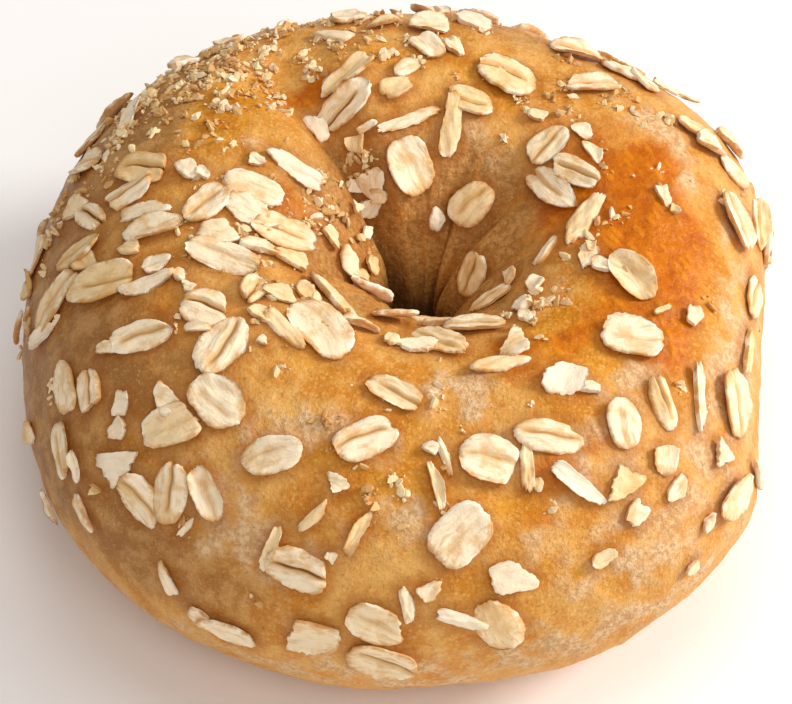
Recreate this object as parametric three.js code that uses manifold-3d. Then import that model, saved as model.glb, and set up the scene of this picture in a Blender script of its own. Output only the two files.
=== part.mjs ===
// A puffy hand-rolled bagel with rolled oats baked onto its crust. Millimetres, +Z up, standing on z = 0.
// Places on the crust are two angles in degrees: ring goes round the hole, from +X towards +Y, and tube goes
// round the dough, from 0 at the outer side over 90 at the crown to 180 in the hole and 270 underneath.
import * as THREE from "three";
import { mergeVertices } from "three/addons/utils/BufferGeometryUtils.js";
import Module from "manifold-3d";

// Driving sizes of the dough ring.
const RING_RADIUS = 28; // from the hole's axis to the middle of the dough
const OUTER_HALF = 27; // half the dough's width, outwards
const INNER_HALF = 23.6; // half the dough's width, towards the hole
const CROWN_HEIGHT = 25.3; // from the widest level up to the crown
const BELLY_DEPTH = 25; // from the widest level down, before the tray flattens it
const WIDEST_LEVEL = 22.6; // height of the widest level above the tray
const BASE_EASE = 1.5; // how softly the side runs into the flat base
const RING_CENTRE = [0.35, 0.5]; // where the ring's own centre lies from the origin
const HOLE_SHIFT = [2.5, 0.5]; // how far the hole sits from the ring's centre
const LEAN = [-2.8, 2.4]; // extra height at the crown towards +X and +Y

// Unevenness of the outer edge seen from above: waves round the ring, cosine and sine heights.
const SWELLS = [
  { waves: 2, cos: -0.6, sin: 1.05 },
  { waves: 3, cos: -0.7, sin: 0.45 },
  { waves: 4, cos: -1.4, sin: 0.6 },
  { waves: 5, cos: -0.65, sin: 0.6 },
  { waves: 6, cos: -0.6, sin: 0 },
];

// Broad soft lumps all over the dough.
const LUMPS = [
  { height: 0.45, ring: 3, tube: 1, phase: 50 },
  { height: 0.35, ring: 5, tube: -2, phase: 200 },
  { height: 0.25, ring: 8, tube: 1, phase: 120 },
];

// Creases where the dough was pinched shut and gathered into the hole. drift is how far a crease wanders
// round the ring for each degree along it, and before and after are its half-widths on its two sides.
const CREASES = [
  { ring: 128, tube: 120, drift: 0.05, from: 62, to: 200, depth: 3.6, before: 14, after: 9 },
  { ring: 36, tube: 140, drift: 0.2, from: 104, to: 200, depth: 1.7, before: 10, after: 6 },
  { ring: 62, tube: 150, drift: 0.1, from: 118, to: 200, depth: 1.3, before: 6, after: 8 },
  { ring: 352, tube: 140, drift: -0.3, from: 112, to: 195, depth: 1, before: 9, after: 9 },
  { ring: 205, tube: 140, drift: 0.2, from: 110, to: 200, depth: 1.4, before: 12, after: 9 },
  { ring: 288, tube: 150, drift: 0, from: 120, to: 200, depth: 0.9, before: 12, after: 12 },
];
const CREASE_FADE = 24; // degrees over which a crease runs out at either end

// Rolls of dough that stand out from the plain form, each with its reach along the ring and along the tube.
const ROLLS = [
  { ring: 22, tube: 165, along: 36, across: 28, height: 2.2 },
  { ring: 330, tube: -8, along: 9, across: 20, height: 1.7 },
  { ring: 294, tube: -30, along: 14, across: 20, height: 1.5 },
  { ring: 62, tube: 50, along: 16, across: 20, height: 0.8 },
];

const RING_STEPS = 76;
const TUBE_STEPS = 26;

const degrees = THREE.MathUtils.degToRad;
const { smoothstep } = THREE.MathUtils;

// Degrees brought to between -180 and 180.
function turned(angle) {
  return THREE.MathUtils.euclideanModulo(angle + 180, 360) - 180;
}

function creaseDepth(ring, tube) {
  return CREASES.reduce((sum, crease) => {
    const off = turned(ring - crease.ring - crease.drift * (tube - crease.tube));
    const across = off / (off < 0 ? crease.before : crease.after);
    const starts = smoothstep(tube, crease.from, crease.from + CREASE_FADE);
    const ends = 1 - smoothstep(tube, crease.to - CREASE_FADE, crease.to);
    return sum + crease.depth * Math.exp(-across * across) * starts * ends;
  }, 0);
}

function rollHeight(ring, tube) {
  return ROLLS.reduce((sum, roll) => {
    const [along, across] = [turned(ring - roll.ring) / roll.along, turned(tube - roll.tube) / roll.across];
    return sum + roll.height * Math.exp(-along * along - across * across);
  }, 0);
}

function lumpHeight(ring, tube) {
  return LUMPS.reduce(
    (sum, lump) => sum + lump.height * Math.sin(degrees(lump.ring * ring + lump.tube * tube + lump.phase)),
    0,
  );
}

// Heights under the ease bend into the flat base.
function pressedOnTray(z) {
  if (z > BASE_EASE) return z;
  return z < -BASE_EASE ? 0 : (z + BASE_EASE) ** 2 / (4 * BASE_EASE);
}

// The crust's point at two angles.
function crust(ring, tube) {
  const around = degrees(ring);
  const [c, s] = [Math.cos(degrees(tube)), Math.sin(degrees(tube))];
  const outerShare = (1 + c) / 2;
  const broad = lumpHeight(ring, tube) * (0.3 + 0.7 * outerShare);
  const lump = broad + rollHeight(ring, tube) - creaseDepth(ring, tube);
  const swell = SWELLS.reduce(
    (sum, w) => sum + w.cos * Math.cos(w.waves * around) + w.sin * Math.sin(w.waves * around),
    0,
  );
  const radius = RING_RADIUS + ((c > 0 ? OUTER_HALF : INNER_HALF) + lump) * c + swell * outerShare;
  const height = WIDEST_LEVEL + ((s > 0 ? CROWN_HEIGHT : BELLY_DEPTH) + lump) * s;
  const lean = (LEAN[0] * Math.cos(around) + LEAN[1] * Math.sin(around)) / (WIDEST_LEVEL + CROWN_HEIGHT);
  return new THREE.Vector3(
    RING_CENTRE[0] + radius * Math.cos(around) + HOLE_SHIFT[0] * (1 - outerShare),
    RING_CENTRE[1] + radius * Math.sin(around) + HOLE_SHIFT[1] * (1 - outerShare),
    pressedOnTray(height * (1 + (height > 0 ? lean : 0))),
  );
}

// The dough as a torus whose points are moved onto the crust.
function doughGeometry() {
  const geometry = new THREE.TorusGeometry(RING_RADIUS, OUTER_HALF, TUBE_STEPS, RING_STEPS);
  const { position, uv } = geometry.attributes;
  for (let i = 0; i < position.count; i += 1) {
    const point = crust(360 * (uv.getX(i) % 1), 360 * (uv.getY(i) % 1));
    position.setXYZ(i, point.x, point.y, point.z);
  }
  return geometry;
}

// Rolled oats. Each is an oval plate sunk into the crust, so that its edge stays buried where the crust
// curves. The widths are shares of the length.
const FLAKE_RISE = 0.9; // how far a flake stands above the crust
const FLAKE_ROOT = 1.1; // how far it reaches into the crust
const FLAKE_TAPER = 0.8; // its top's size over its root's
const FLAKE_SIDES = 6;
const FLAKE_WIDTHS = { whole: 0.62, round: 0.76, long: 0.48, split: 0.36, thin: 0.24, broken: 0.8 };

// Flakes that stand out, read off the crust one by one: ring, tube, turn from the ring's direction, length,
// kind, and how far a flake is lifted off the crust, where it is.
const PLACED_FLAKES = [
  [246, 57, 31, 8, "whole"],
  [262, 68, 34, 8.7, "whole"],
  [266.5, 82.5, -26, 7.9, "long"],
  [255.5, 28, -10, 8.7, "whole"],
  [257, 8, 10, 8, "broken"],
  [266.5, 14, -22, 9, "whole"],
  [267.5, 0, -15, 9.4, "whole"],
  [278.5, 41, 42, 9, "round"],
  [285, 61.5, -25, 8.2, "round"],
  [285, 25.5, 10, 7.2, "broken"],
  [283.5, 8, -60, 9.6, "whole"],
  [278, 14.5, -22, 7, "split"],
  [263, 41, 66, 6.4, "split"],
  [275, 55.5, -78, 6.8, "thin"],
  [246, -2, -8, 8, "long"],
  [250.5, 32, 80, 6, "split"],
  [297, 65, -23, 9.8, "long"],
  [291.5, 57, 75, 6.4, "split"],
  [298.5, 50, -50, 8.8, "split"],
  [311, 58.5, 65, 6.8, "round"],
  [321, 56, 58, 7.8, "long"],
  [327.5, 47, 35, 9.5, "thin"],
  [333.5, 31, 45, 9.2, "whole"],
  [325, 28, -42, 6, "broken"],
  [324.5, 13, 0, 7.8, "whole"],
  [306, 43, -20, 6.5, "broken"],
  [343, 78, 42, 8.5, "whole"],
  [327.5, 73, -72, 8.6, "round"],
  [3, 96, -21, 9.5, "split"],
  [302, 97, 5, 6.5, "broken"],
  [295, 91, -6, 7.5, "split"],
  [307, 79.5, 40, 7, "broken"],
  [10.5, 42, 42, 8.9, "whole"],
  [14, 27, 60, 8, "long", 0.8],
  [14.5, 16, 75, 7.5, "long", 0.7],
  [55.5, 57, 25, 8.2, "long"],
  [46, 73, 48, 8.8, "long"],
  [47.5, 53, 20, 6.5, "whole"],
  [29.5, 52, 73, 6, "whole"],
  [22.5, 38.5, 60, 6.4, "whole"],
  [25.5, 49.5, 86, 6.8, "long"],
  [358, 27.5, -10, 8.5, "long"],
  [345.5, 30, -4, 8.3, "thin"],
  [37.5, 104.5, 98, 7.5, "whole"],
  [23, 110.5, 29, 9.5, "long"],
  [22.5, 101, 43, 8.5, "long"],
  [63.5, 86, 5, 8.8, "round"],
  [75, 113.5, -76, 10, "split"],
  [95, 130, -64, 8.5, "round"],
  [48.5, 135, 78, 7.2, "round"],
  [69.5, 102.5, 5, 7, "whole"],
  [93.5, 115, 22, 9.3, "thin"],
  [110, 95, 13, 9.2, "split"],
  [116.5, 105, 10, 9.6, "long"],
  [85, 72, 0, 6, "round"],
  [85, 84, -45, 6.2, "whole"],
  [103, 62, 0, 6.2, "broken"],
  [77, 60, -15, 6.5, "broken", 0.5],
  [157, 115.5, 86, 9.2, "split"],
  [175, 104, 80, 8.4, "whole"],
  [194, 112.5, 74, 9.5, "whole"],
  [186, 101.5, 60, 6.5, "broken"],
  [202, 104, 70, 6.5, "split"],
  [208, 113.5, 60, 6.2, "broken"],
  [232, 115.5, -22, 9.3, "split"],
  [240, 99, -28, 11, "whole"],
  [233, 92, -12, 7.6, "split"],
  [271, 104.5, -20, 6, "broken"],
  [279.5, 108, -50, 9.5, "long"],
  [296, 112.5, -32, 8.5, "long"],
  [258, 121, 10, 6.6, "whole", 1],
  [1.5, 145.5, -53, 7, "whole"],
  [318.5, 128.5, -35, 6.4, "long"],
  [202, 91.5, 52, 10.2, "long"],
  [193, 93.5, 78, 6.2, "broken"],
  [182.5, 89, -42, 7.6, "whole"],
  [169.5, 69.5, 77, 8.3, "whole"],
  [175, 65.5, -70, 8.5, "long"],
  [182, 71.5, -90, 7.5, "split"],
  [187, 74, 88, 8.6, "long"],
  [184, 47, 88, 8.8, "long"],
  [177, 52, 45, 7.5, "long"],
  [172.5, 45, 20, 6, "broken"],
  [175, 25, -30, 6, "whole"],
  [178, 17, 30, 6.5, "whole"],
  [191, 39, -62, 10.5, "long"],
  [195.5, 57.5, 79, 10.2, "whole"],
  [202, 71, 86, 7.2, "split"],
  [216, 81, 33, 7.3, "round"],
  [225.5, 77.5, -78, 9.6, "whole"],
  [232.5, 64.5, -10, 8.2, "round"],
  [212.5, 62.5, 65, 8.8, "long"],
  [212.5, 43, -26, 6.6, "whole"],
  [208.5, 36.5, -8, 8.5, "long"],
  [195, 31, 80, 6.5, "split"],
  [228.5, 52, 52, 8.8, "whole"],
  [233.5, 37.5, 107, 8.1, "whole"],
  [239, 41, -45, 7.7, "long"],
  [230, 30, -28, 8, "whole"],
  [224.5, 36, 30, 6.8, "broken"],
  [214, 23.5, -35, 8, "long"],
  [135, 50, 20, 6, "broken", 0.5],
  [151, 52, 20, 8, "split"],
  [211, -6, -45, 5, "split", 0.3],
  [181.5, 6, -80, 6, "split", 0.4],
];

// Flakes strewn by a rule where none could be read: most of the far side, and the near wall of the hole.
const STREWN = [
  { count: 32, ring: [16, 168], tube: [-12, 52], apart: 7 },
  { count: 4, ring: [205, 335], tube: [134, 158], apart: 7 },
];
const STREWN_KINDS = ["whole", "long", "broken", "whole", "round", "split"];
const STREWN_LENGTH = [6.2, 8.8];
const STREWN_TRIES = 400; // after this many draws a region counts as full

// Even draws from 0 to 1, the same each time.
let seed = 2026;
function draw(from, to) {
  seed = (seed * 16807) % 2147483647;
  return from + ((to - from) * seed) / 2147483647;
}

function strewnFlakes() {
  const flakes = [];
  for (const { count, ring, tube, apart } of STREWN) {
    let left = count;
    for (let tries = 0; tries < STREWN_TRIES && left > 0; tries += 1) {
      const place = [draw(...ring), draw(...tube)];
      const turn = draw(-90, 90);
      const length = draw(...STREWN_LENGTH);
      const kind = STREWN_KINDS[Math.floor(draw(0, STREWN_KINDS.length))];
      const point = crust(...place);
      const others = [...PLACED_FLAKES, ...flakes].map((other) => crust(other[0], other[1]));
      if (others.some((other) => other.distanceTo(point) < apart)) continue;
      flakes.push([...place, turn, length, kind]);
      left -= 1;
    }
  }
  return flakes;
}

// A flake's own frame on the crust: x along the flake, z straight out of the crust.
function crustFrame(ring, tube, turn) {
  const step = 0.5;
  const along = crust(ring + step, tube).sub(crust(ring - step, tube)).normalize();
  const up = crust(ring, tube + step).sub(crust(ring, tube - step)).normalize();
  const out = along.clone().cross(up).normalize();
  const heading = along.applyAxisAngle(out, degrees(turn));
  return new THREE.Matrix4()
    .makeBasis(heading, out.clone().cross(heading), out)
    .setPosition(crust(ring, tube));
}

function flakeGeometry([ring, tube, turn, length, kind, lift = 0]) {
  const top = FLAKE_RISE + lift;
  return new THREE.CylinderGeometry(FLAKE_TAPER, 1, top + FLAKE_ROOT, FLAKE_SIDES)
    .rotateX(Math.PI / 2)
    .translate(0, 0, (top - FLAKE_ROOT) / 2)
    .scale(length / 2, (length * FLAKE_WIDTHS[kind]) / 2, 1)
    .applyMatrix4(crustFrame(ring, tube, turn));
}

const wasm = await Module();
wasm.setup();

function solidOf(geometry) {
  const bare = new THREE.BufferGeometry()
    .setAttribute("position", geometry.getAttribute("position"))
    .setIndex(geometry.index);
  const merged = mergeVertices(bare, 1e-4);
  return new wasm.Manifold(
    new wasm.Mesh({
      numProp: 3,
      vertProperties: new Float32Array(merged.attributes.position.array),
      triVerts: new Uint32Array(merged.index.array),
    }),
  );
}

function geometryOf(solid) {
  const { vertProperties, triVerts } = solid.getMesh();
  return new THREE.BufferGeometry()
    .setAttribute("position", new THREE.BufferAttribute(vertProperties, 3))
    .setIndex(new THREE.BufferAttribute(triVerts, 1));
}

const dough = solidOf(doughGeometry());
const oats = [...PLACED_FLAKES, ...strewnFlakes()].map((flake) => solidOf(flakeGeometry(flake)));
const bagel = new THREE.Mesh(
  geometryOf(oats.reduce((whole, flake) => whole.add(flake), dough)),
  new THREE.MeshStandardMaterial({ color: 0xb8742c, roughness: 0.5, metalness: 0 }),
);
bagel.name = "bagel";

const part = new THREE.Group();
part.add(bagel);
export default part;
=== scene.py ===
"""Looks of a puffy hand-rolled bagel with rolled oats baked onto its crust.

Places on the crust are two angles in degrees, as in the part's source: ring goes round the hole, from
+X towards +Y, and tube goes round the dough, from 0 at the outer side over 90 at the crown to 180 in the
hole. Shapes are worked out in millimetres and turned into metres when they go into a mesh.
"""

import math
import random

import bmesh
import bpy
import numpy as np
from mathutils import Matrix, Vector, noise
from mathutils.kdtree import KDTree


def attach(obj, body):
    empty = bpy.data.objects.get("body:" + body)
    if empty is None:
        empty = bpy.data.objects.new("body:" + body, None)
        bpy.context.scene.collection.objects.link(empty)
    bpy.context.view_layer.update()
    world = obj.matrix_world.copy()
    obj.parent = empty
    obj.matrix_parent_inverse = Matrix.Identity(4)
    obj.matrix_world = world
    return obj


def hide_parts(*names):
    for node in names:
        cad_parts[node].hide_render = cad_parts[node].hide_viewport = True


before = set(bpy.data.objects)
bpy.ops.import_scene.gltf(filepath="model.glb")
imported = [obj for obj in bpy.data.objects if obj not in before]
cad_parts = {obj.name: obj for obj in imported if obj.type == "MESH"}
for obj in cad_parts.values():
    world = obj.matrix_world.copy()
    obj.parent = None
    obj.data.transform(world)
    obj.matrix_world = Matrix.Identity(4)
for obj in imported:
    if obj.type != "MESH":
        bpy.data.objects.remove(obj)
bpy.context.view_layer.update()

MM = 0.001

# Driving sizes of the dough ring, the same as the part's.
RING_RADIUS = 28
OUTER_HALF = 27
INNER_HALF = 23.6
CROWN_HEIGHT = 25.3
BELLY_DEPTH = 25
WIDEST_LEVEL = 22.6
BASE_EASE = 1.5
RING_CENTRE = (0.35, 0.5)
HOLE_SHIFT = (2.5, 0.5)
LEAN = (-2.8, 2.4)
# Waves round the ring, and how far each swells along the cosine and along the sine.
SWELLS = [(2, -0.6, 1.05), (3, -0.7, 0.45), (4, -1.4, 0.6), (5, -0.65, 0.6), (6, -0.6, 0)]
LUMPS = [(0.45, 3, 1, 50), (0.35, 5, -2, 200), (0.25, 8, 1, 120)]  # height, ring, tube, phase
CREASES = [  # ring, tube, drift, from, to, depth, half-width before, half-width after
    (128, 120, 0.05, 62, 200, 3.6, 14, 9),
    (36, 140, 0.2, 104, 200, 1.7, 10, 6),
    (62, 150, 0.1, 118, 200, 1.3, 6, 8),
    (352, 140, -0.3, 112, 195, 1, 9, 9),
    (205, 140, 0.2, 110, 200, 1.4, 12, 9),
    (288, 150, 0, 120, 200, 0.9, 12, 12),
]
CREASE_FADE = 24
# Rounded rolls: ring, tube, reach along the ring, reach along the tube, height.
ROLLS = [(22, 165, 36, 28, 2.2), (330, -8, 9, 20, 1.7), (294, -30, 14, 20, 1.5), (62, 50, 16, 20, 0.8)]


def ease(value, low, high):
    """0 below low, 1 above high and smooth between them."""
    share = np.clip((value - low) / (high - low), 0, 1)
    return share * share * (3 - 2 * share)


def between(value, in_start, in_end, out_start, out_end):
    """0 outside, 1 inside and smooth at both ends."""
    return ease(value, in_start, in_end) * (1 - ease(value, out_start, out_end))


def turned(angle):
    """Degrees brought to between -180 and 180."""
    return (angle + 180) % 360 - 180


def crease_depth(ring, tube):
    depth = 0
    for at, level, drift, start, end, deep, before, after in CREASES:
        off = turned(ring - at - drift * (tube - level))
        across = off / np.where(off < 0, before, after)
        ends = between(tube, start, start + CREASE_FADE, end - CREASE_FADE, end)
        depth = depth + deep * np.exp(-across * across) * ends
    return depth


def crust(ring, tube, swelling=0):
    """Points of the crust in millimetres, swelling millimetres proud of the plain form."""
    ring = np.asarray(ring, float) % 360
    tube = np.asarray(tube, float) % 360
    around = np.radians(ring)
    c = np.cos(np.radians(tube))
    s = np.sin(np.radians(tube))
    outer_share = (1 + c) / 2
    lump = sum(h * np.sin(np.radians(r * ring + t * tube + phase)) for h, r, t, phase in LUMPS)
    lump = lump * (0.3 + 0.7 * outer_share) - crease_depth(ring, tube) + swelling
    for at, level, along, across, high in ROLLS:
        off = (turned(ring - at) / along) ** 2 + (turned(tube - level) / across) ** 2
        lump = lump + high * np.exp(-off)
    swell = sum(a * np.cos(k * around) + b * np.sin(k * around) for k, a, b in SWELLS)
    radius = RING_RADIUS + (np.where(c > 0, OUTER_HALF, INNER_HALF) + lump) * c + swell * outer_share
    height = WIDEST_LEVEL + (np.where(s > 0, CROWN_HEIGHT, BELLY_DEPTH) + lump) * s
    lean = (LEAN[0] * np.cos(around) + LEAN[1] * np.sin(around)) / (WIDEST_LEVEL + CROWN_HEIGHT)
    height = np.where(height > 0, height * (1 + lean), height)
    bent = np.where(height < -BASE_EASE, 0, (height + BASE_EASE) ** 2 / (4 * BASE_EASE))
    x = RING_CENTRE[0] + radius * np.cos(around) + HOLE_SHIFT[0] * (1 - outer_share)
    y = RING_CENTRE[1] + radius * np.sin(around) + HOLE_SHIFT[1] * (1 - outer_share)
    return np.stack([x, y, np.where(height > BASE_EASE, height, bent)], -1)


# Flakes that stand out, the same as the part's: ring, tube, turn from the ring's direction, length, kind
# and lift.
PLACED_FLAKES = [
    (246, 57, 31, 8, "whole"),
    (262, 68, 34, 8.7, "whole"),
    (266.5, 82.5, -26, 7.9, "long"),
    (255.5, 28, -10, 8.7, "whole"),
    (257, 8, 10, 8, "broken"),
    (266.5, 14, -22, 9, "whole"),
    (267.5, 0, -15, 9.4, "whole"),
    (278.5, 41, 42, 9, "round"),
    (285, 61.5, -25, 8.2, "round"),
    (285, 25.5, 10, 7.2, "broken"),
    (283.5, 8, -60, 9.6, "whole"),
    (278, 14.5, -22, 7, "split"),
    (263, 41, 66, 6.4, "split"),
    (275, 55.5, -78, 6.8, "thin"),
    (246, -2, -8, 8, "long"),
    (250.5, 32, 80, 6, "split"),
    (297, 65, -23, 9.8, "long"),
    (291.5, 57, 75, 6.4, "split"),
    (298.5, 50, -50, 8.8, "split"),
    (311, 58.5, 65, 6.8, "round"),
    (321, 56, 58, 7.8, "long"),
    (327.5, 47, 35, 9.5, "thin"),
    (333.5, 31, 45, 9.2, "whole"),
    (325, 28, -42, 6, "broken"),
    (324.5, 13, 0, 7.8, "whole"),
    (306, 43, -20, 6.5, "broken"),
    (343, 78, 42, 8.5, "whole"),
    (327.5, 73, -72, 8.6, "round"),
    (3, 96, -21, 9.5, "split"),
    (302, 97, 5, 6.5, "broken"),
    (295, 91, -6, 7.5, "split"),
    (307, 79.5, 40, 7, "broken"),
    (10.5, 42, 42, 8.9, "whole"),
    (14, 27, 60, 8, "long", 0.8),
    (14.5, 16, 75, 7.5, "long", 0.7),
    (55.5, 57, 25, 8.2, "long"),
    (46, 73, 48, 8.8, "long"),
    (47.5, 53, 20, 6.5, "whole"),
    (29.5, 52, 73, 6, "whole"),
    (22.5, 38.5, 60, 6.4, "whole"),
    (25.5, 49.5, 86, 6.8, "long"),
    (358, 27.5, -10, 8.5, "long"),
    (345.5, 30, -4, 8.3, "thin"),
    (37.5, 104.5, 98, 7.5, "whole"),
    (23, 110.5, 29, 9.5, "long"),
    (22.5, 101, 43, 8.5, "long"),
    (63.5, 86, 5, 8.8, "round"),
    (75, 113.5, -76, 10, "split"),
    (95, 130, -64, 8.5, "round"),
    (48.5, 135, 78, 7.2, "round"),
    (69.5, 102.5, 5, 7, "whole"),
    (93.5, 115, 22, 9.3, "thin"),
    (110, 95, 13, 9.2, "split"),
    (116.5, 105, 10, 9.6, "long"),
    (85, 72, 0, 6, "round"),
    (85, 84, -45, 6.2, "whole"),
    (103, 62, 0, 6.2, "broken"),
    (77, 60, -15, 6.5, "broken", 0.5),
    (157, 115.5, 86, 9.2, "split"),
    (175, 104, 80, 8.4, "whole"),
    (194, 112.5, 74, 9.5, "whole"),
    (186, 101.5, 60, 6.5, "broken"),
    (202, 104, 70, 6.5, "split"),
    (208, 113.5, 60, 6.2, "broken"),
    (232, 115.5, -22, 9.3, "split"),
    (240, 99, -28, 11, "whole"),
    (233, 92, -12, 7.6, "split"),
    (271, 104.5, -20, 6, "broken"),
    (279.5, 108, -50, 9.5, "long"),
    (296, 112.5, -32, 8.5, "long"),
    (258, 121, 10, 6.6, "whole", 1),
    (1.5, 145.5, -53, 7, "whole"),
    (318.5, 128.5, -35, 6.4, "long"),
    (202, 91.5, 52, 10.2, "long"),
    (193, 93.5, 78, 6.2, "broken"),
    (182.5, 89, -42, 7.6, "whole"),
    (169.5, 69.5, 77, 8.3, "whole"),
    (175, 65.5, -70, 8.5, "long"),
    (182, 71.5, -90, 7.5, "split"),
    (187, 74, 88, 8.6, "long"),
    (184, 47, 88, 8.8, "long"),
    (177, 52, 45, 7.5, "long"),
    (172.5, 45, 20, 6, "broken"),
    (175, 25, -30, 6, "whole"),
    (178, 17, 30, 6.5, "whole"),
    (191, 39, -62, 10.5, "long"),
    (195.5, 57.5, 79, 10.2, "whole"),
    (202, 71, 86, 7.2, "split"),
    (216, 81, 33, 7.3, "round"),
    (225.5, 77.5, -78, 9.6, "whole"),
    (232.5, 64.5, -10, 8.2, "round"),
    (212.5, 62.5, 65, 8.8, "long"),
    (212.5, 43, -26, 6.6, "whole"),
    (208.5, 36.5, -8, 8.5, "long"),
    (195, 31, 80, 6.5, "split"),
    (228.5, 52, 52, 8.8, "whole"),
    (233.5, 37.5, 107, 8.1, "whole"),
    (239, 41, -45, 7.7, "long"),
    (230, 30, -28, 8, "whole"),
    (224.5, 36, 30, 6.8, "broken"),
    (214, 23.5, -35, 8, "long"),
    (135, 50, 20, 6, "broken", 0.5),
    (151, 52, 20, 8, "split"),
    (211, -6, -45, 5, "split", 0.3),
    (181.5, 6, -80, 6, "split", 0.4),
]

# Smaller pieces of flakes, read off the crust in the same way.
PLACED_BITS = [
    (259, 54.5, -10, 3.9, "broken"),
    (255.5, 43.5, 57, 5.2, "split"),
    (259.5, 33.5, 80, 2.4, "broken"),
    (270.5, 20, -78, 5.3, "split"),
    (273.5, 23.5, 20, 4.3, "broken"),
    (277, 63.5, -76, 5, "thin"),
    (274, 66, 0, 2.3, "broken"),
    (242, 1, -20, 3.8, "broken"),
    (292.5, 52.5, 70, 2.2, "broken"),
    (315, 44, 45, 5.2, "broken"),
    (314, 33.5, 30, 4.2, "broken"),
    (331.5, 6, 80, 5, "split"),
    (318, 14.5, 60, 3.3, "broken"),
    (313, 3, 10, 2.6, "broken"),
    (305.5, 34, 30, 4.8, "broken"),
    (300, 24.5, 10, 4, "broken"),
    (341, 55.5, 0, 4, "broken"),
    (337.5, 67.5, -50, 3, "split"),
    (350.5, 110, -30, 5.5, "split"),
    (346.5, 94.5, 10, 5, "broken"),
    (343.5, 87.5, 70, 3.5, "broken"),
    (351, 92, 0, 2.2, "broken"),
    (329.5, 112, -10, 3.5, "broken"),
    (319.5, 113, 20, 4, "broken"),
    (338, 124, 0, 4, "broken"),
    (313, 107, 40, 3.5, "broken"),
    (310.5, 73, -20, 3.8, "broken"),
    (10.5, 71, 30, 4.2, "broken"),
    (7, 67, 0, 2.2, "broken"),
    (34.5, 91, 20, 4, "broken"),
    (26.5, 91.5, 0, 4.2, "broken"),
    (47.5, 97, 0, 3.5, "broken"),
    (43, 52, -20, 5.8, "whole"),
    (48, 44, 0, 4, "broken"),
    (73.5, 145.5, -50, 3.6, "broken"),
    (111.5, 116, 10, 3.3, "split"),
    (117, 118.5, 60, 3.5, "broken"),
    (127, 105, 60, 5.5, "broken"),
    (107.5, 73, -40, 5.5, "broken"),
    (78.5, 82.5, -40, 4.5, "broken"),
    (92.5, 97, 30, 4.5, "broken"),
    (96.5, 103, 35, 5, "broken"),
    (95, 69.5, 20, 5, "broken"),
    (113, 52, 40, 4.5, "split"),
    (119.5, 134, 70, 5.5, "broken"),
    (126, 141, 30, 5, "broken"),
    (127, 133, 60, 3.5, "broken"),
    (115.5, 139, 0, 3.5, "broken"),
    (163.5, 102, 60, 3.2, "broken"),
    (249.5, 108, 12, 5.6, "split"),
    (261, 105.5, 70, 3, "broken"),
    (231.5, 85, 0, 2.2, "broken"),
    (217.5, 94.5, -60, 5.6, "whole"),
    (222.5, 101, 30, 5, "broken"),
    (225, 108, 0, 3.5, "broken"),
    (224.5, 91, 20, 4, "broken"),
    (184, 132.5, 60, 4, "broken"),
    (190.5, 141, 40, 5, "broken"),
    (175, 151, 0, 4, "broken"),
    (203, 146, 30, 5, "broken"),
    (150, 146, 10, 3, "broken"),
    (145, 138, 60, 3, "broken"),
    (170.5, 83, 10, 4.8, "broken"),
    (172, 88, 30, 3, "broken"),
    (190, 67, 60, 4, "broken"),
    (187.5, 52, 30, 4.5, "broken"),
    (175, 36, 40, 3, "split"),
    (198.5, 73.5, 80, 4.5, "broken"),
    (203.5, 79, 0, 2.6, "broken"),
    (208, 80, 40, 3, "broken"),
    (219, 75.5, 50, 3.8, "split"),
    (224.5, 57, 20, 5.3, "broken"),
    (209.5, 53.5, 60, 3.5, "broken"),
    (219, 48, 30, 4.5, "broken"),
    (221.5, 43, 60, 4, "broken"),
    (218, 25, -40, 4.2, "split"),
    (221.5, 13.5, -35, 5.4, "split"),
    (222.5, 24, 0, 2, "broken"),
    (236.5, 9, -60, 5.2, "split"),
    (237.5, 29, 70, 3.4, "split"),
    (203, 8, 60, 5, "broken"),
    (125.5, 54, 20, 5.5, "broken"),
    (284, 124, 0, 5, "broken"),
]

# Flakes strewn by a rule, the same as the part's, from the same draws.
STREWN = [(32, (16, 168), (-12, 52), 7), (4, (205, 335), (134, 158), 7)]  # count, ring, tube, apart
STREWN_KINDS = ["whole", "long", "broken", "whole", "round", "split"]
STREWN_LENGTH = (6.2, 8.8)
STREWN_TRIES = 400
STREWN_SEED = 2026
SEED_FACTOR = 16807
SEED_LIMIT = 2147483647


class Draws:
    """Even draws, the same each time and the same as the part's."""

    def __init__(self, seed):
        self.seed = seed

    def __call__(self, low, high):
        self.seed = self.seed * SEED_FACTOR % SEED_LIMIT
        return low + (high - low) * self.seed / SEED_LIMIT


def strewn_flakes():
    draw = Draws(STREWN_SEED)
    flakes = []
    taken = [crust(flake[0], flake[1]) for flake in PLACED_FLAKES]
    for count, ring, tube, apart in STREWN:
        left = count
        for _ in range(STREWN_TRIES):
            if left == 0:
                break
            place = (draw(*ring), draw(*tube))
            turn = draw(-90, 90)
            length = draw(*STREWN_LENGTH)
            kind = STREWN_KINDS[int(draw(0, len(STREWN_KINDS)))]
            point = crust(*place)
            if min(np.linalg.norm(point - other) for other in taken) < apart:
                continue
            flakes.append((*place, turn, length, kind))
            taken.append(point)
            left -= 1
    return flakes


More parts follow.
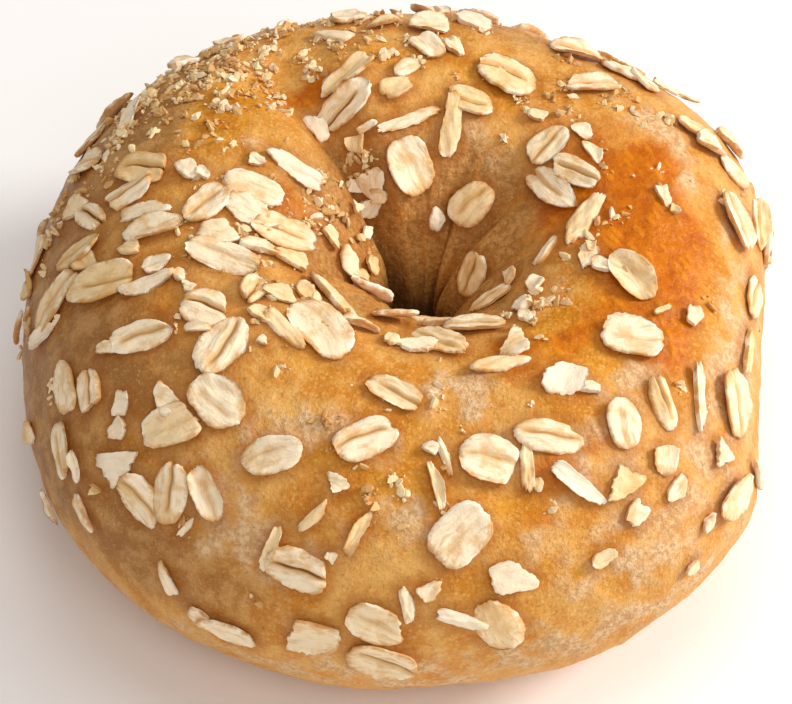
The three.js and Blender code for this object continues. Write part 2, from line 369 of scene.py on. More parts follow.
# Where the crust is baked to a glossy orange, where to gold, where it is pale and matt, and where it is a
# dull brown: ring, tube, reach along the ring, reach along the tube, strength.
ORANGE_PATCHES = [
    (356, 74, 25, 17, 1.0),
    (9, 86, 16, 13, 0.9),
    (340, 66, 13, 11, 0.8),
    (322, 86, 12, 7, 0.6),
    (12, 110, 20, 18, 0.8),
    (300, 90, 8, 10, 0.6),
    (297, 57, 6, 8, 0.6),
    (310, 62, 9, 5, 0.4),
    (294, 40, 6, 8, 0.4),
    (252, 80, 12, 4, 0.2),
    (214, 72, 9, 8, 0.5),
    (122, 94, 11, 11, 0.7),
    (175, 120, 14, 10, 0.5),
    (60, 94, 20, 10, 0.3),
]
GOLD_PATCHES = [
    (264, 54, 9, 11, 0.9),
    (276, 57, 7, 13, 0.9),
    (258, 62, 8, 6, 0.7),
    (290, 22, 9, 9, 1.0),
    (290, 47, 8, 9, 0.8),
    (283, 8, 8, 8, 0.6),
    (342, 54, 24, 13, 1.0),
    (322, 82, 20, 16, 0.9),
    (313, 97, 10, 8, 0.6),
    (355, 61, 14, 6, 0.7),
    (140, 86, 18, 13, 0.9),
    (157, 105, 12, 11, 0.7),
    (242, 86, 16, 8, 0.6),
    (272, 75, 14, 8, 0.7),
    (93, 91, 22, 11, 0.6),
    (65, 92, 18, 10, 0.6),
    (226, 62, 9, 8, 0.5),
    (20, 88, 12, 10, 0.6),
]
PALE_PATCHES = [
    (246, 66, 10, 10, 0.7),
    (252, 71, 8, 7, 0.9),
    (268, 66, 5, 9, 0.7),
    (241, 42, 10, 13, 0.9),
    (248, 27, 12, 12, 0.8),
    (284, 83, 8, 9, 0.9),
    (269, 42, 6, 8, 0.9),
    (262, 36, 6, 8, 0.5),
    (317, 64, 10, 11, 0.8),
    (305, 52, 9, 10, 0.6),
    (308, 20, 18, 18, 0.8),
    (300, -6, 34, 12, 0.8),
    (262, -14, 34, 10, 0.8),
    (343, 30, 16, 17, 1.0),
    (322, 34, 10, 10, 0.6),
    (6, 42, 12, 10, 0.6),
    (33, 66, 14, 10, 0.6),
    (20, 58, 10, 9, 0.7),
    (330, 100, 10, 8, 0.5),
    (148, 104, 9, 10, 0.5),
    (166, 122, 14, 12, 0.6),
    (55, 112, 20, 10, 0.6),
    (287, 66, 5, 7, 0.7),
    (291, 34, 6, 6, 0.6),
]
DULL_PATCHES = [
    (211, 54, 13, 15, 0.9),
    (197, 38, 16, 15, 0.9),
    (224, 52, 9, 9, 0.6),
    (226, 16, 26, 20, 0.8),
    (222, 70, 10, 8, 0.5),
    (150, 58, 26, 18, 0.7),
    (176, 24, 30, 30, 0.9),
    (60, 60, 22, 12, 0.5),
    (45, 120, 40, 14, 0.6),
]


def patches(spots, ring, tube):
    """How far each place lies inside soft patches, from 0 to 1."""
    left = np.ones(np.shape(ring))
    tube = turned(tube)
    for at, level, along, across, strength in spots:
        off = (turned(ring - at) / along) ** 2 + (turned(tube - level) / across) ** 2
        left = left * (1 - strength * np.exp(-off))
    return 1 - left


def fractal(points, size, offset=0, octaves=3):
    """Noise of about -1 to 1 at points in millimetres, with its largest waves about size long."""
    shift = Vector((offset, -offset, offset * 0.7))
    return np.array([noise.fractal(Vector(p) / size + shift, 1.0, 2.0, octaves) for p in points])


def blisters(points, size, offset=0):
    """1 in the middle of each little blister and 0 between them."""
    shift = Vector((offset, offset * 0.3, -offset))
    nearest = np.array([noise.voronoi(Vector(p) / size + shift)[0][0] for p in points])
    return np.clip(1 - 1.7 * nearest, 0, 1)


# The dough's skin
CRUST_RING_POINTS = 440
CRUST_TUBE_POINTS = 216
SPUN_RADIUS = RING_RADIUS * 1.5  # wide enough for the spun circle to stay clear of the axis
FUNNEL = (104, 128, 196, 214)  # tube angles between which the crust turns down into the hole
HOLE_SHADE = (158, 185, 215, 240)  # tube angles between which painted shade darkens the hole most
UNDERSIDE = (0.4, 2.5)  # heights over which the flat underside ends
PATCH_WOBBLE = 9  # degrees by which the edges of the patches wander
PATCH_WAVE = 14  # size of that wandering
BLISTERS = (1.5, 3.1)  # distances between small blisters and between large ones
FLAKE_SHADE_REACH = (0.5, 2.2)  # how far from a flake painted contact shade darkens the crust


def dressed_piece(name, data, material, smooth=True):
    """The named piece of this mesh, that rides with the bagel."""
    data.polygons.foreach_set("use_smooth", np.full(len(data.polygons), smooth))
    piece = bpy.data.objects.new(name, data)
    bpy.context.scene.collection.objects.link(piece)
    data.materials.append(material)
    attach(piece, "root")
    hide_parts("bagel")
    return piece


def give_values(piece, name, values):
    attribute = piece.data.attributes.new(name, "FLOAT", "POINT")
    attribute.data.foreach_set("value", np.asarray(values, np.float32))


def places_of(piece):
    """The piece's points in millimetres."""
    flat = np.empty(3 * len(piece.data.vertices))
    piece.data.vertices.foreach_get("co", flat)
    return flat.reshape(-1, 3) / MM


def nearness(piece, others):
    """1 where the piece's points touch the others, falling to 0 a little way off."""
    near = np.concatenate([places_of(other) for other in others])
    tree = KDTree(len(near))
    for number, point in enumerate(near):
        tree.insert(point, number)
    tree.balance()
    away = np.array([tree.find(point)[2] for point in places_of(piece)])
    return 1 - ease(away, *FLAKE_SHADE_REACH)


def make_crust(material):
    bm = bmesh.new()
    section = bmesh.ops.create_circle(bm, segments=CRUST_TUBE_POINTS, radius=OUTER_HALF)["verts"]
    bmesh.ops.rotate(bm, verts=section, cent=(0, 0, 0), matrix=Matrix.Rotation(math.pi / 2, 3, "X"))
    bmesh.ops.translate(bm, verts=section, vec=(SPUN_RADIUS, 0, 0))
    bmesh.ops.spin(
        bm,
        geom=bm.verts[:] + bm.edges[:],
        cent=(0, 0, 0),
        axis=(0, 0, 1),
        angle=2 * math.pi,
        steps=CRUST_RING_POINTS,
        use_merge=True,
    )
    places = np.array([v.co for v in bm.verts])
    ring = np.degrees(np.arctan2(places[:, 1], places[:, 0])) % 360
    out = np.hypot(places[:, 0], places[:, 1]) - SPUN_RADIUS
    tube = np.degrees(np.arctan2(places[:, 2], out)) % 360
    plain = crust(ring, tube)

    ring_wobble = ring + PATCH_WOBBLE * fractal(plain, PATCH_WAVE, 3)
    tube_wobble = tube + PATCH_WOBBLE * fractal(plain, PATCH_WAVE, 8)
    orange = patches(ORANGE_PATCHES, ring_wobble, tube_wobble)
    gold = patches(GOLD_PATCHES, ring_wobble, tube_wobble)
    pale = patches(PALE_PATCHES, ring_wobble, tube_wobble)
    dull = patches(DULL_PATCHES, ring_wobble, tube_wobble)
    funnel = between(tube, *FUNNEL)
    creases = crease_depth(ring, tube)
    drift = fractal(plain, 11, 20)
    speckle = fractal(plain, 3.2, 31)
    orange = np.clip(orange + 0.2 * drift * (1 - pale), 0, 1)
    gold = np.clip(gold + 0.3 * fractal(plain, 8, 71) * (1 - pale), 0, 1)
    pale = np.clip(pale * (0.75 + 0.9 * speckle) + 0.12 * fractal(plain, 6, 44), 0, 1)

    small = blisters(plain, BLISTERS[0], 4)
    large = blisters(plain, BLISTERS[1], 9)
    under = ease(-plain[:, 2], -UNDERSIDE[1], -UNDERSIDE[0])
    folds = [noise.fractal(Vector((r / 9, t / 30, 5.1)), 1.0, 2.0, 3) for r, t in zip(ring, tube)]
    radial = np.array(folds)
    swelling = 0.3 * drift + 0.16 * speckle
    swelling = swelling + (0.25 * small + 0.3 * large) * (0.35 + 0.65 * orange) * (1 - funnel)
    swelling = swelling + 0.16 * pale * fractal(plain, 0.9, 57, 2)
    swelling = swelling + 0.35 * funnel * radial
    swelling = swelling * (1 - under)

    for vert, place in zip(bm.verts, crust(ring, tube, swelling)):
        vert.co = Vector(place) * MM
    bmesh.ops.recalc_face_normals(bm, faces=bm.faces[:])
    data = bpy.data.meshes.new("crust")
    bm.to_mesh(data)
    bm.free()
    piece = dressed_piece("crust", data, material)
    give_values(piece, "orange", orange)
    give_values(piece, "gold", gold)
    give_values(piece, "pale", pale)
    give_values(piece, "dull", np.clip(dull + 0.3 * under, 0, 1))
    give_values(piece, "funnel", np.clip(funnel, 0, 1))
    # painted shade deep in the hole, and in the creases where they run down into it
    hollow_shade = between(tube, *HOLE_SHADE)
    give_values(piece, "hollow_shade", np.clip(hollow_shade + 0.12 * creases * ease(tube, 90, 130), 0, 1))
    give_values(piece, "blister", np.maximum(small, large))
    give_values(piece, "streak", radial)
    return piece


# Flakes: an oval plate each, some with a groove along it, with uneven rims and broken ends
KIND_WIDTHS = {"whole": 0.62, "round": 0.76, "long": 0.48, "split": 0.36, "thin": 0.24, "broken": 0.8}
KIND_RAGGED = {"whole": 0.035, "round": 0.04, "long": 0.045, "split": 0.07, "thin": 0.09, "broken": 0.09}
KIND_CUTS = {"split": 1, "thin": 1, "broken": 3}
GROOVED_KINDS = ("whole", "round", "long")
FLAKE_CELLS = 16
BIT_CELLS = 9
FLAKE_THICK = 0.33  # half the thickness of a whole flake, in millimetres
FLAKE_LEVEL = 0.38  # height of its middle above the crust
LIFT_LEAN = (-0.5, -0.35)  # radians a lifted flake leans over each way, for each millimetre of its lift
FULL_TURN = 6.28


def crust_frame(ring, tube, turn):
    """A flake's own frame on the crust: x along the flake, z straight out of the crust."""
    step = 0.5
    along = Vector(crust(ring + step, tube) - crust(ring - step, tube)).normalized()
    up = Vector(crust(ring, tube + step) - crust(ring, tube - step)).normalized()
    out = along.cross(up).normalized()
    heading = Matrix.Rotation(math.radians(turn), 3, out) @ along
    side = out.cross(heading)
    frame_matrix = Matrix((heading, side, out)).transposed().to_4x4()
    frame_matrix.translation = Vector(crust(ring, tube))
    return np.array(frame_matrix)


def moved(points, matrix):
    return points @ matrix[:3, :3].T + matrix[:3, 3]


def tipped(rng, most):
    """A small random tip out of the level, as a matrix."""
    tip = Matrix.Rotation(math.radians(rng.uniform(-most, most)), 4, "X")
    return np.array(tip @ Matrix.Rotation(math.radians(rng.uniform(-most, most)), 4, "Y"))


def plate_template(cells):
    """A flat square plate, 2 wide and 2 high, of cells by cells quads, as points and faces."""
    bm = bmesh.new()
    bmesh.ops.create_cube(bm, size=2)
    level = [edge for edge in bm.edges if abs(edge.verts[0].co.z - edge.verts[1].co.z) < 0.5]
    bmesh.ops.subdivide_edges(bm, edges=level, cuts=cells - 1, use_grid_fill=True)
    for height in (-0.4, 0.4):
        everything = bm.verts[:] + bm.edges[:] + bm.faces[:]
        bmesh.ops.bisect_plane(bm, geom=everything, plane_co=(0, 0, height), plane_no=(0, 0, 1))
    return template_arrays(bm)


def template_arrays(bm):
    bm.verts.index_update()
    points = np.array([vert.co for vert in bm.verts])
    faces = np.array([[vert.index for vert in face.verts] for face in bm.faces])
    bm.free()
    return points, faces


def joined_piece(name, copies, faces, values, material, smooth=True):
    """One piece of many copies of a template, with the values of their points."""
    count = len(copies[0])
    corners = np.concatenate([faces + count * number for number in range(len(copies))])
    data = bpy.data.meshes.new(name)
    data.from_pydata((np.concatenate(copies) * MM).tolist(), [], corners.tolist())
    piece = dressed_piece(name, data, material, smooth)
    for key, value in values.items():
        give_values(piece, key, np.concatenate(value))
    return piece


def rounded_plate(plate, rng):
    """The plate's points pulled in to a blunt oval 2 by 2, with how far out each lies and its bearing."""
    x, y, z = plate.T
    flat_x = x * np.sqrt(1 - y * y / 2)
    flat_y = y * np.sqrt(1 - x * x / 2)
    share = np.hypot(flat_x, flat_y)
    around = np.arctan2(flat_y, flat_x)
    power = rng.uniform(2.0, 2.7)
    blunt = (np.abs(np.cos(around)) ** power + np.abs(np.sin(around)) ** power) ** (-1 / power)
    return flat_x * blunt, flat_y * blunt, z, share, around


def broken_off(along, across, bite, cut):
    """The two ways across a flake once what lies beyond a jagged line is pushed back to the line."""
    over = np.maximum(along * np.cos(bite) + across * np.sin(bite) - cut, 0)
    aside = along * np.sin(bite) - across * np.cos(bite)
    jagged = 0.1 * np.sin(6 * aside + cut * 20) + 0.08 * np.sin(15 * aside + cut * 50)
    jagged += 0.05 * np.sin(31 * aside)
    over = over * (0.87 + jagged)
    return along - over * np.cos(bite), across - over * np.sin(bite)


def flake_shape(plate, length, kind, rng):
    """One flake lying flat, in millimetres, and its groove, its rim and its own two ways."""
    along, across, z, share, around = rounded_plate(plate, rng)
    ragged = KIND_RAGGED[kind]
    outline = 1 + 0.12 * rng.uniform(-1, 1) * np.cos(around)
    for waves in range(2, 6):
        uneven = ragged * rng.uniform(-0.9, 0.9)
        outline += uneven * np.cos(waves * around + rng.uniform(0, FULL_TURN))
    for waves in (7, 12, 17, 23, 28):
        wobble = around + 0.25 * np.sin(2 * around + rng.uniform(0, FULL_TURN))
        uneven = ragged * rng.uniform(0, 0.45)
        outline += uneven * np.cos(waves * wobble + rng.uniform(0, FULL_TURN)) * share**6
    grooved = kind in GROOVED_KINDS
    deep = rng.choice((0.05, 0.15, 0.25, 0.4, 0.6, 1.0)) if grooved else 0
    notch = deep * rng.uniform(0, 0.22)
    outline = outline - notch * np.exp(-((around / 0.16) ** 2)) * share**4
    along = along * outline
    across = across * outline
    for _ in range(KIND_CUTS.get(kind, rng.choice((0, 0, 1)))):
        if kind == "broken":
            bite = rng.uniform(0, FULL_TURN)
        else:
            bite = rng.choice((1.4, 4.8)) + rng.uniform(-0.2, 0.2)
        bite = rng.uniform(-0.5, 0.5) if grooved else bite
        cut = rng.uniform(0.68, 0.85) if grooved else rng.uniform(0.35, 0.75)
        along, across = broken_off(along, across, bite, cut)
    half_long = length / 2
    half_wide = half_long * KIND_WIDTHS[kind]
    thick = FLAKE_THICK * rng.uniform(0.8, 1.25)
    height = z * thick * (0.4 + 0.6 * np.sqrt(np.clip(1 - share**7, 0, 1)))
    top = z > 0.9
    reach = ease(1 - np.abs(along - rng.uniform(-0.2, 0.2)), 0.02, 0.45)
    off = across - rng.uniform(-0.25, 0.25) * np.cos(1.6 * along) - rng.uniform(-0.2, 0.2) * along
    off = off + 0.03 * np.sin(7 * along + rng.uniform(0, 6))
    lips = 0.34 * deep * np.exp(-(((np.abs(off) - 0.25) / 0.13) ** 2)) * reach
    height = height + np.where(top, lips - 0.6 * deep * np.exp(-((off / 0.1) ** 2)) * reach, 0)
    for _ in range(2):
        slant = rng.uniform(-0.45, 0.45)
        line = across * math.cos(slant) - along * math.sin(slant) - rng.uniform(-0.55, 0.55)
        line = line + 0.05 * np.sin(8 * along + rng.uniform(0, 6))
        height = height + np.where(top, rng.uniform(-0.14, 0.14) * np.tanh(line / 0.08), 0)
    bend = rng.choice((-0.25, 0.1, 0.3, 0.6, 0.9)) + rng.uniform(-0.15, 0.15)
    height = height + bend * across**2 + rng.uniform(-0.3, 0.35) * along**2
    height = height + rng.uniform(-0.35, 0.35) * along * across
    height = height + 0.08 * np.sin(7 * along + rng.uniform(0, 6)) * np.cos(6 * across + rng.uniform(0, 6))
    points = np.stack([along * half_long, across * half_wide, height], -1)
    rim = ease(share + 0.05 * np.sin(23 * around + rng.uniform(0, 6)), 0.8, 0.98)
    ways = np.stack([along * half_long + rng.uniform(0, 90), off * half_wide], -1)
    return points, deep * reach, rim, ways


def make_flakes(name, flakes, material, seed, cells=FLAKE_CELLS):
    """One joined piece of all these flakes, each with its own tone and its own ways for the streaks."""
    rng = random.Random(seed)
    plate, faces = plate_template(cells)
    copies = []
    values = {"toast": [], "white": [], "groove": [], "rim": []}
    every_way = []
    for ring, tube, turn, length, kind, *lift in flakes:
        points, groove, rim, ways = flake_shape(plate, length, kind, rng)
        raised = sum(lift)
        rise = Matrix.Translation((0, 0, FLAKE_LEVEL + 0.5 * raised + rng.uniform(0, 0.25)))
        lean = Matrix.Rotation(LIFT_LEAN[0] * raised, 4, "X")
        lean = lean @ Matrix.Rotation(LIFT_LEAN[1] * raised, 4, "Y")
        place = crust_frame(ring, tube, turn) @ np.array(rise @ lean) @ tipped(rng, 6)
        copies.append(moved(points, place))
        pallor = rng.random() ** 1.6 if kind in KIND_CUTS else 0.3 * rng.random()
        values["toast"].append(np.full(len(points), rng.random()))
        values["white"].append(np.full(len(points), pallor))
        values["groove"].append(groove)
        values["rim"].append(rim)
        every_way.append(ways)
    piece = joined_piece(name, copies, faces, values, material)
    layer = piece.data.uv_layers.new(name="ways")
    corners = np.empty(len(piece.data.loops), np.int32)
    piece.data.loops.foreach_get("vertex_index", corners)
    layer.data.foreach_set("uv", np.concatenate(every_way).astype(np.float32)[corners].ravel())
    return piece


# Crumbs of broken flakes, stuck together in little clusters: ring, tube, reach along the ring, reach along
# the tube, how many clusters.
CRUMB_FIELDS = [
    (143, 72, 24, 26, 112),
    (122, 62, 24, 22, 66),
    (102, 80, 28, 20, 66),
    (190, 100, 28, 22, 40),
    (165, 130, 24, 16, 30),
    (235, 100, 24, 12, 20),
    (325, 105, 22, 10, 20),
    (225, 70, 30, 30, 18),
    (270, 60, 50, 45, 26),
    (350, 75, 40, 35, 18),
    (40, 80, 30, 25, 26),
    (90, 30, 70, 30, 60),
    (118, 132, 14, 14, 18),
    (180, 30, 16, 30, 20),
    (153, 54, 16, 12, 70),
    (136, 66, 14, 12, 30),
]
CLUSTER_REACH = (1.0, 1.3)  # degrees along the ring and along the tube
CRUMB_SHAPES = 40
CRUMB_CUTS = 7
CRUMB_SEED = 77
CRUMBS_TOGETHER = (1, 1, 2, 3, 4, 6, 9)
CRUMB_ROUNDNESS = 0.75  # 0 for a cube, 1 for a ball


def crumb_shapes(rng):
    """Little broken lumps of different shapes, and the faces they share."""
    bm = bmesh.new()
    bmesh.ops.create_cube(bm, size=2)
    bmesh.ops.subdivide_edges(bm, edges=bm.edges[:], cuts=1, use_grid_fill=True)
    block, faces = template_arrays(bm)
    ball = block / np.linalg.norm(block, axis=1)[:, None] ** CRUMB_ROUNDNESS
    shapes = []
    for _ in range(CRUMB_SHAPES):
        lump = ball.copy()
        for _ in range(CRUMB_CUTS):
            facing = Vector((rng.uniform(-1, 1), rng.uniform(-1, 1), rng.uniform(-1, 1))).normalized()
            over = np.maximum(lump @ np.array(facing) - rng.uniform(0.3, 0.75), 0)
            lump = lump - over[:, None] * np.array(facing)
        shapes.append(lump * [rng.uniform(0.9, 1.5), rng.uniform(0.6, 1), rng.uniform(0.4, 0.8)])
    return shapes, faces


def make_crumbs(material):
    rng = random.Random(CRUMB_SEED)
    shapes, faces = crumb_shapes(rng)
    copies = []
    values = {"toast": [], "white": []}
    for ring, tube, along, across, count in CRUMB_FIELDS:
        for _ in range(count):
            middle = (rng.gauss(ring, along / 2), rng.gauss(tube, across / 2))
            toast = rng.random()
            pallor = rng.random() ** 2
            for _ in range(rng.choice(CRUMBS_TOGETHER)):
                at = (rng.gauss(middle[0], CLUSTER_REACH[0]), rng.gauss(middle[1], CLUSTER_REACH[1]))
                size = 0.2 + 0.75 * rng.random() ** 2.2
                rise = np.array(Matrix.Translation((0, 0, 0.1 + 0.3 * size)))
                place = crust_frame(*at, rng.uniform(0, 360)) @ rise @ tipped(rng, 50)
                copies.append(moved(rng.choice(shapes) * size, place))
                own_toast = np.clip(toast + rng.uniform(-0.25, 0.25), 0, 1)
                own_pallor = np.clip(pallor + rng.uniform(-0.2, 0.2), 0, 1)
                values["toast"].append(np.full(len(copies[-1]), own_toast))
                values["white"].append(np.full(len(copies[-1]), own_pallor))
    return joined_piece("crumbs", copies, faces, values, material, smooth=False)


def paint(red, green, blue):
    """A colour as a screen shows it, from 0 to 255, turned into the shader's own scale."""
    def line(value):
        value /= 255
        return value / 12.92 if value <= 0.04045 else ((value + 0.055) / 1.055) ** 2.4
    return (line(red), line(green), line(blue), 1)


def grey(value):
    return (value, value, value, 1)


class Finish:
    """A material with short calls for the nodes used here."""

    def __init__(self, name):
        self.material = bpy.data.materials.new(name)
        self.material.use_nodes = True
        self.nodes = self.material.node_tree.nodes
        self.links = self.material.node_tree.links
        self.shader = self.nodes["Principled BSDF"]

    def node(self, kind, inputs=None, **settings):
        made = self.nodes.new(kind)
        for key, value in settings.items():
            setattr(made, key, value)
        for key, value in (inputs or {}).items():
            self.feed(made.inputs[key], value)
        return made

    def feed(self, socket, value):
        if isinstance(value, bpy.types.NodeSocket):
            self.links.new(value, socket)
        else:
            socket.default_value = value

    def value_of(self, name):
        return self.node("ShaderNodeAttribute", attribute_name=name).outputs["Fac"]

    def grain(self, size, vector, detail=3, roughness=0.6):
        look = {"Scale": 1 / size, "Detail": detail, "Roughness": roughness}
        made = self.node("ShaderNodeTexNoise", look)
        self.feed(made.inputs["Vector"], vector)
        return made.outputs["Fac"]

    def spots(self, size, vector):
        """Soft round spots scattered about, 1 in their middles."""
        made = self.node("ShaderNodeTexVoronoi", {"Vector": vector, "Scale": 1 / size})
        kept = self.node("ShaderNodeSeparateColor", {"Color": made.outputs["Color"]}).outputs["Red"]
        round_spot = self.range(made.outputs["Distance"], 0.15, 0.6, 1, 0)
        return self.math("MULTIPLY", round_spot, self.range(kept, 0.25, 0.5))

    def range(self, value, low, high, to_low=0, to_high=1):
        ends = {"Value": value, "From Min": low, "From Max": high, "To Min": to_low, "To Max": to_high}
        return self.node("ShaderNodeMapRange", ends, interpolation_type="SMOOTHSTEP").outputs["Result"]

    def math(self, operation, first, second=0.0):
        made = self.node("ShaderNodeMath", operation=operation)
        self.feed(made.inputs[0], first)
        self.feed(made.inputs[1], second)
        made.use_clamp = True
        return made.outputs["Value"]

    def mix(self, share, first, second):
        made = self.node("ShaderNodeMix", data_type="RGBA")
        self.feed(made.inputs[0], share)
        self.feed(made.inputs[6], first)
        self.feed(made.inputs[7], second)
        return made.outputs[2]

    def bump(self, height, distance, strength, under=None):
        made = self.node("ShaderNodeBump", {"Height": height, "Distance": distance, "Strength": strength})
        if under:
            self.feed(made.inputs["Normal"], under)
        return made.outputs["Normal"]

    def finish(self, colour, roughness, normal):
        self.feed(self.shader.inputs["Base Color"], colour)
        self.feed(self.shader.inputs["Roughness"], roughness)
        self.feed(self.shader.inputs["Normal"], normal)
        return self.material


def crust_finish():
    f = Finish("baked crust")
    place = f.node("ShaderNodeTexCoord").outputs["Object"]
    turn = math.radians(35)
    drawn = f.node("ShaderNodeMapping", {"Vector": place, "Rotation": (0, 0, turn), "Scale": (1, 2.5, 1)})
    drawn.vector_type = "TEXTURE"
    grit = f.grain(0.4 * MM, place, 2, 0.7)
    fine = f.grain(0.9 * MM, place, 4)
    medium = f.grain(3.5 * MM, place, 4)
    broad = f.grain(11 * MM, place, 3)
    spots = f.spots(1.3 * MM, drawn.outputs["Vector"])
    specks = f.spots(0.7 * MM, place)
    orange = f.value_of("orange")
    pale = f.value_of("pale")
    hollow_shade = f.value_of("hollow_shade")
    golden = f.mix(f.range(broad, 0.38, 0.62), paint(220, 156, 76), paint(206, 132, 44))
    golden = f.mix(f.range(medium, 0.42, 0.62, 0, 0.65), golden, paint(230, 176, 98))
    gold = f.mix(f.range(medium, 0.4, 0.62), paint(200, 124, 16), paint(220, 148, 42))
    colour = f.mix(f.range(f.value_of("gold"), 0.15, 0.75), golden, gold)
    colour = f.mix(f.math("MULTIPLY", specks, 0.35), colour, paint(242, 192, 112))
    deep = f.mix(f.range(medium, 0.38, 0.6), paint(186, 90, 0), paint(204, 110, 2))
    # lighter blister tops on the orange crust: partly their own paler colour and partly painted highlight
    light = f.math("MAXIMUM", spots, f.range(f.value_of("blister"), 0.35, 0.9, 0, 0.7))
    deep = f.mix(f.math("MULTIPLY", light, 0.65), deep, paint(230, 138, 16))
    colour = f.mix(f.range(orange, 0.12, 0.6), colour, deep)
    brown = f.mix(f.range(medium, 0.4, 0.62), paint(152, 102, 52), paint(184, 134, 80))
    colour = f.mix(f.range(f.value_of("dull"), 0.1, 0.8, 0, 0.85), colour, brown)
    beige = f.mix(f.range(fine, 0.4, 0.62), paint(204, 158, 110), paint(236, 200, 154))
    colour = f.mix(f.range(pale, 0.2, 0.75, 0, 0.9), colour, beige)
    wall = f.mix(f.range(fine, 0.4, 0.62), paint(150, 100, 48), paint(196, 142, 82))
    wall = f.mix(f.range(f.value_of("streak"), 0.1, 0.5, 0, 0.6), wall, paint(194, 118, 28))
    inside = f.math("MULTIPLY", f.value_of("funnel"), f.range(orange, 0.2, 0.8, 0.75, 0.3))
    colour = f.mix(inside, colour, wall)
    # painted shade in the hole and the creases: dark brown
    colour = f.mix(f.math("MULTIPLY", hollow_shade, 0.7), colour, paint(84, 40, 8))
    colour = f.mix(f.range(fine, 0.58, 0.72, 0, 0.4), colour, paint(150, 84, 26))
    colour = f.mix(f.range(grit, 0.42, 0.3, 0, 0.35), colour, paint(136, 74, 20))
    # painted highlight: small pale glints on the grit, fewer on the orange
    painted_glint = f.math("MULTIPLY", f.range(grit, 0.58, 0.7, 0, 0.35), f.range(orange, 0.1, 0.8, 1, 0.2))
    colour = f.mix(painted_glint, colour, paint(248, 206, 134))
    # painted contact shade on the crust next to the flakes
    colour = f.mix(f.math("MULTIPLY", f.value_of("flake_shade"), 0.45), colour, paint(160, 88, 22))
    f.shader.inputs["Specular IOR Level"].default_value = 0.16
    gloss = f.mix(f.range(orange, 0.1, 0.6), grey(0.42), grey(0.26))
    gloss = f.mix(pale, gloss, grey(0.75))
    relief = f.bump(medium, 0.5 * MM, 0.5)
    relief = f.bump(f.math("MULTIPLY", spots, orange), 0.25 * MM, 0.6, relief)
    relief = f.bump(fine, 0.3 * MM, 0.9, relief)
    relief = f.bump(grit, 0.12 * MM, 0.7, relief)
    relief = f.bump(f.math("MULTIPLY", f.grain(0.6 * MM, place, 2, 0.7), pale), 0.35 * MM, 0.9, relief)
    return f.finish(colour, gloss, relief)


def oat_finish(name, of_flakes):
    """Toasted oats: cream with golden toasting, a golden stripe and painted shade along the grooves, and
    floury white where they broke.
    """
    f = Finish(name)
    place = f.node("ShaderNodeTexCoord").outputs["Object"]
    toast = f.value_of("toast")
    white = f.value_of("white")
    fine = f.grain(0.7 * MM, place, 4)
    broad = f.grain(3.2 * MM, place, 3)
    if of_flakes:
        cream = f.mix(f.range(toast, 0.3, 1), paint(255, 233, 198), paint(246, 213, 160))
    else:
        cream = f.mix(f.range(toast, 0.1, 0.9), paint(244, 220, 172), paint(206, 156, 92))
    colour = f.mix(f.range(broad, 0.48, 0.66, 0, 0.65), cream, paint(230, 180, 110))
    relief = f.bump(fine, 0.22 * MM, 0.6)
    if of_flakes:
        ways = f.node("ShaderNodeUVMap", uv_map="ways").outputs["UV"]
        stretched = f.node("ShaderNodeMapping", {"Vector": ways, "Scale": (0.3, 1.5, 1)}).outputs["Vector"]
        long_grain = {"Vector": stretched, "Scale": 1.0, "Detail": 5, "Distortion": 0.6}
        fibres = f.node("ShaderNodeTexNoise", long_grain).outputs["Fac"]
        colour = f.mix(f.range(fibres, 0.5, 0.7, 0, 0.5), colour, paint(206, 156, 92))
        relief = f.bump(fibres, 0.22 * MM, 0.6, relief)
        rim = f.value_of("rim")
        golden_rim = f.math("MULTIPLY", rim, f.range(broad, 0.4, 0.56, 0, 0.75))
        colour = f.mix(golden_rim, colour, paint(206, 142, 66))
        floury_rim = f.math("MULTIPLY", rim, f.range(broad, 0.36, 0.48, 0.7, 0))
        colour = f.mix(floury_rim, colour, paint(252, 244, 226))
    colour = f.mix(f.range(white, 0.65, 0.95, 0, 0.65), colour, paint(250, 233, 208))
    if of_flakes:
        off = f.node("ShaderNodeSeparateXYZ", {"Vector": ways}).outputs["Y"]
        aside = f.node("ShaderNodeMath", {0: off}, operation="ABSOLUTE").outputs["Value"]
        groove = f.value_of("groove")
        band = f.math("MULTIPLY", f.range(aside, 0.15, 0.8, 0.7, 0), f.range(groove, 0, 0.3))
        colour = f.mix(band, colour, paint(216, 162, 84))
        # painted shade in the groove: a dark line, darker where the groove is deeper
        line = f.range(aside, 0.05, 0.28, 1, 0)
        colour = f.mix(f.math("MULTIPLY", line, groove), colour, paint(146, 92, 38))
    f.shader.inputs["Specular IOR Level"].default_value = 0.3
    return f.finish(colour, 0.65, relief)


crust_material = crust_finish()
oat_material = oat_finish("oat flakes", True)
crumb_material = oat_finish("oat crumbs", False)

every_flake = PLACED_FLAKES + strewn_flakes()
grooved_flakes = [flake for flake in every_flake if flake[4] in GROOVED_KINDS]
cut_flakes = [flake for flake in every_flake if flake[4] in KIND_CUTS]
flake_pieces = [
    make_flakes("flakes", grooved_flakes, oat_material, 5),
    make_flakes("broken_flakes", cut_flakes, oat_material, 6),
    make_flakes("bits_of_flakes", PLACED_BITS, oat_material, 8, BIT_CELLS),
]
crust_piece = make_crust(crust_material)
# how near each crust point lies to a flake, for the painted contact shade
give_values(crust_piece, "flake_shade", nearness(crust_piece, flake_pieces))
make_crumbs(crumb_material)

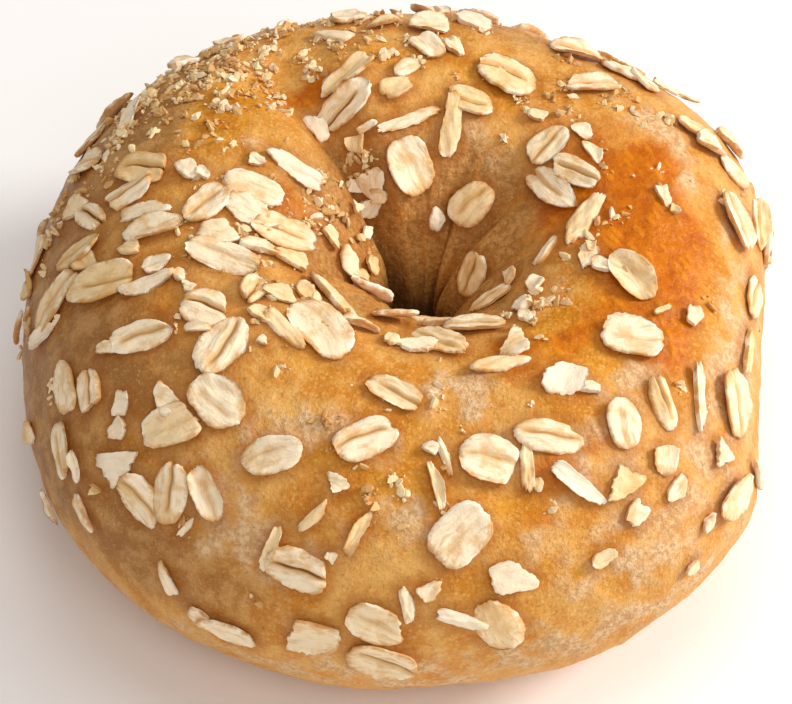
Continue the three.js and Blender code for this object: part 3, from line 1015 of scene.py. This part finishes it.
# Floor, light and camera, in metres
TARGET = Vector((-0.45, 0.5, 19.8)) * MM
CAMERA_DISTANCE = 430 * MM
CAMERA_ELEVATION = math.radians(47.5)
CAMERA_LENS = 136.2
CAMERA_SENSOR = 36
FLOOR_SIZE = 3
ROOM_LIGHT = 0.36
LIGHTS = [  # name, place, size, power, colour
    ("window", (0.82, 0.12, 0.46), 0.34, 7.6, (1, 0.985, 0.96)),
    ("overhead", (0.1, 0.1, 0.9), 0.5, 1.6, (1, 0.99, 0.97)),
    ("front fill", (0.2, -0.7, 0.75), 0.6, 2.8, (1, 0.98, 0.96)),
]


def plain_material(name, colour, roughness):
    f = Finish(name)
    f.shader.inputs["Base Color"].default_value = colour
    f.shader.inputs["Roughness"].default_value = roughness
    return f.material


def make_floor():
    bm = bmesh.new()
    bmesh.ops.create_grid(bm, x_segments=1, y_segments=1, size=FLOOR_SIZE)
    data = bpy.data.meshes.new("floor")
    bm.to_mesh(data)
    bm.free()
    floor = bpy.data.objects.new("floor", data)
    bpy.context.scene.collection.objects.link(floor)
    data.materials.append(plain_material("pale floor", paint(255, 252, 250), 0.6))


def make_light(name, place, size, power, colour):
    lamp = bpy.data.lights.new(name, "AREA")
    lamp.shape = "DISK"
    lamp.size = size
    lamp.energy = power
    lamp.color = colour
    holder = bpy.data.objects.new(name, lamp)
    holder.location = Vector(place)
    holder.rotation_euler = (TARGET - holder.location).to_track_quat("-Z", "Y").to_euler()
    bpy.context.scene.collection.objects.link(holder)


def make_camera():
    data = bpy.data.cameras.new("camera")
    data.lens = CAMERA_LENS
    data.sensor_width = CAMERA_SENSOR
    camera = bpy.data.objects.new("camera", data)
    reach = Vector((0, -math.cos(CAMERA_ELEVATION), math.sin(CAMERA_ELEVATION))) * CAMERA_DISTANCE
    camera.location = TARGET + reach
    camera.rotation_euler = (-reach).to_track_quat("-Z", "Y").to_euler()
    bpy.context.scene.collection.objects.link(camera)
    bpy.context.scene.camera = camera


make_floor()
for light in LIGHTS:
    make_light(*light)
make_camera()
world = bpy.data.worlds.new("soft room")
world.use_nodes = True
world.node_tree.nodes["Background"].inputs["Color"].default_value = (1, 0.99, 0.98, 1)
world.node_tree.nodes["Background"].inputs["Strength"].default_value = ROOM_LIGHT
bpy.context.scene.world = world
bpy.context.scene.view_settings.view_transform = "Standard"
